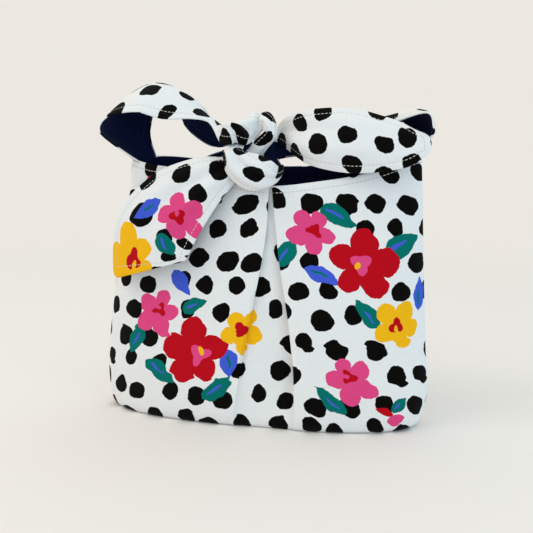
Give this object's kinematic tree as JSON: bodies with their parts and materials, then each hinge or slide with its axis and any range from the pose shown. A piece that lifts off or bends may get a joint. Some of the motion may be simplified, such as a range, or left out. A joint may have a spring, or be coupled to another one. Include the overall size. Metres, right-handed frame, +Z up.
{
  "type": "knot bag",
  "caption": "Small boxed cloth tote with a pleated front, a dark lining and ties knotted over the open mouth as a handle.",
  "frame": {"origin": "middle of the base, on the surface the bag stands on", "axes": "+Z up, -Y to the pleated front, +X to the viewer's right along the bag's width"},
  "size_m": [0.2889, 0.0936, 0.2886],
  "materials": {
    "printed_cotton": "matt plain-weave cotton, white with a dotted and flowered print",
    "navy_cotton": "matt plain-weave cotton, navy"
  },
  "bodies": {
    "root": {"panel_front": "printed_cotton", "panel_back": "printed_cotton", "lining_front": "navy_cotton", "lining_back": "navy_cotton", "tie_left_print": "printed_cotton", "tie_left_lining": "navy_cotton", "tie_right_print": "printed_cotton", "tie_right_lining": "navy_cotton"}
  },
  "joints": []
}
